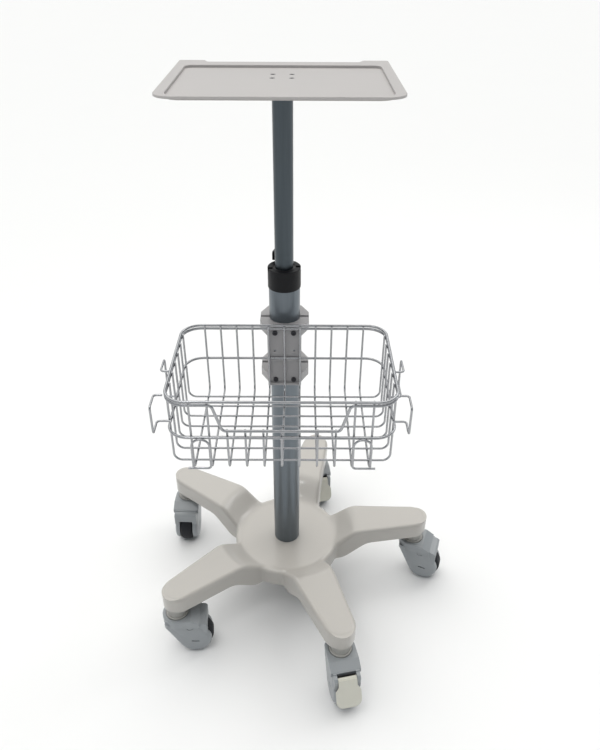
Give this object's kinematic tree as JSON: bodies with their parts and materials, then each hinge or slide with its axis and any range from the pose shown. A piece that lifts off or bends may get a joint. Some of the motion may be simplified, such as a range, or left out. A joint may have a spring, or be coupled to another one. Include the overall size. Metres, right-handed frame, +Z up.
{
  "type": "ultrasound machine stand",
  "caption": "Wheeled stand for a portable ultrasound machine: shallow tray on a telescopic column, clamped wire basket, star base on swivel casters with brakes",
  "frame": {"origin": "centre of the footprint at floor level; the column's axis stands 41 mm to -X and 21 mm to +Y of it", "axes": "+Z up; -Y is the front, where the basket hangs; +X is the stand's right as seen from the front"},
  "size_m": [0.6382, 0.6662, 1.1],
  "materials": {
    "base_paint": "off-white gloss paint on cast aluminium",
    "stem_paint": "off-white gloss paint",
    "tray_paint": "light grey satin paint on sheet steel",
    "bracket_paint": "mid-grey satin paint",
    "column_anodised": "satin grey anodising",
    "mast_anodised": "satin dark grey anodising",
    "dark_steel": "blackened",
    "plain_aluminium": "turned",
    "wire_silver": "silver-grey plated wire",
    "steel": "bright zinc plate",
    "black_plastic": "moulded, fine texture",
    "slide_plastic": "acetal",
    "caster_plastic": "off-white moulding",
    "hub_plastic": "grey moulding",
    "tyre_rubber": "black soft tread",
    "pedal_plastic": "cream moulding"
  },
  "bodies": {
    "stand": {"base_casting": "base_paint", "base_bolt": "steel", "outer_tube": "column_anodised", "foot_plug": "plain_aluminium", "collar": "black_plastic", "guide_bush": "slide_plastic", "lever_pin": "steel", "basket_plate": "bracket_paint", "plate_screws": "dark_steel", "clamp_bolts": "dark_steel", "upper_clamp_front": "bracket_paint", "upper_clamp_rear": "bracket_paint", "lower_clamp_front": "bracket_paint", "lower_clamp_rear": "bracket_paint", "basket_rim_top": "wire_silver", "basket_rim_lower": "wire_silver", "basket_mid_ring": "wire_silver", "basket_long_wires": "wire_silver", "basket_cross_wires": "wire_silver", "basket_side_hooks": "wire_silver", "basket_cable_loops": "wire_silver", "caster_stems": "stem_paint", "swivel_bearings": "steel"},
    "mast": {"inner_tube": "mast_anodised", "mast_foot_bush": "slide_plastic", "tray": "tray_paint", "tray_flange": "plain_aluminium", "tray_screws": "dark_steel"},
    "lever": {"collar_lever": "black_plastic"},
    "right_caster": {"right_caster_housing": "caster_plastic", "right_axle": "dark_steel"},
    "right_wheel": {"right_wheel_hub": "hub_plastic", "right_tyre": "tyre_rubber"},
    "rear_caster": {"rear_caster_housing": "caster_plastic", "rear_axle": "dark_steel", "rear_pedal_pin": "steel"},
    "rear_wheel": {"rear_wheel_hub": "hub_plastic", "rear_tyre": "tyre_rubber"},
    "rear_pedal": {"rear_brake_pedal": "pedal_plastic"},
    "rear_left_caster": {"rear_left_caster_housing": "caster_plastic", "rear_left_axle": "dark_steel"},
    "rear_left_wheel": {"rear_left_wheel_hub": "hub_plastic", "rear_left_tyre": "tyre_rubber"},
    "front_left_caster": {"front_left_caster_housing": "caster_plastic", "front_left_axle": "dark_steel"},
    "front_left_wheel": {"front_left_wheel_hub": "hub_plastic", "front_left_tyre": "tyre_rubber"},
    "front_right_caster": {"front_right_caster_housing": "caster_plastic", "front_right_axle": "dark_steel", "front_right_pedal_pin": "steel"},
    "front_right_wheel": {"front_right_wheel_hub": "hub_plastic", "front_right_tyre": "tyre_rubber"},
    "front_right_pedal": {"front_right_brake_pedal": "pedal_plastic"}
  },
  "joints": [
    {"name": "mast_slide", "type": "slide", "parent": "stand", "child": "mast", "axis": [0, 0, 1], "range_m": [-0.25, 0.1]},
    {"name": "collar_lever_hinge", "type": "hinge", "parent": "stand", "child": "lever", "pos_m": [-0.04578, 0.05178, 0.78], "axis": [-1, 0, 0], "range_deg": [0, 110]},
    {"name": "right_swivel", "type": "hinge", "parent": "stand", "child": "right_caster", "pos_m": [0.24951, 0.04108, 0.1], "axis": [0, 0, 1], "continuous": true},
    {"name": "right_wheel_spin", "type": "hinge", "parent": "right_caster", "child": "right_wheel", "pos_m": [0.28052, 0.02979, 0.0375], "axis": [0.342, 0.9397, 0], "continuous": true},
    {"name": "rear_swivel", "type": "hinge", "parent": "stand", "child": "rear_caster", "pos_m": [0.02962, 0.30314, 0.1], "axis": [0, 0, 1], "continuous": true},
    {"name": "rear_wheel_spin", "type": "hinge", "parent": "rear_caster", "child": "rear_wheel", "pos_m": [0.03648, 0.27086, 0.0375], "axis": [0.9781, 0.2079, 0], "continuous": true},
    {"name": "rear_pedal_hinge", "type": "hinge", "parent": "rear_caster", "child": "rear_pedal", "pos_m": [0.04085, 0.25032, 0.084], "axis": [-0.9781, -0.2079, 0], "range_deg": [0, 30]},
    {"name": "rear_left_swivel", "type": "hinge", "parent": "stand", "child": "rear_left_caster", "pos_m": [-0.28756, 0.17499, 0.1], "axis": [0, 0, 1], "continuous": true},
    {"name": "rear_left_wheel_spin", "type": "hinge", "parent": "rear_left_caster", "child": "rear_left_wheel", "pos_m": [-0.28871, 0.14201, 0.0375], "axis": [0.9994, -0.0349, 0], "continuous": true},
    {"name": "front_left_swivel", "type": "hinge", "parent": "stand", "child": "front_left_caster", "pos_m": [-0.2637, -0.16627, 0.1], "axis": [0, 0, 1], "continuous": true},
    {"name": "front_left_wheel_spin", "type": "hinge", "parent": "front_left_caster", "child": "front_left_wheel", "pos_m": [-0.23082, -0.1634, 0.0375], "axis": [-0.0872, 0.9962, 0], "continuous": true},
    {"name": "front_right_swivel", "type": "hinge", "parent": "stand", "child": "front_right_caster", "pos_m": [0.06823, -0.24903, 0.1], "axis": [0, 0, 1], "continuous": true},
    {"name": "front_right_wheel_spin", "type": "hinge", "parent": "front_right_caster", "child": "front_right_wheel", "pos_m": [0.07509, -0.28131, 0.0375], "axis": [0.9781, 0.2079, 0], "continuous": true},
    {"name": "front_right_pedal_hinge", "type": "hinge", "parent": "front_right_caster", "child": "front_right_pedal", "pos_m": [0.07946, -0.30185, 0.084], "axis": [-0.9781, -0.2079, 0], "range_deg": [0, 30]}
  ]
}
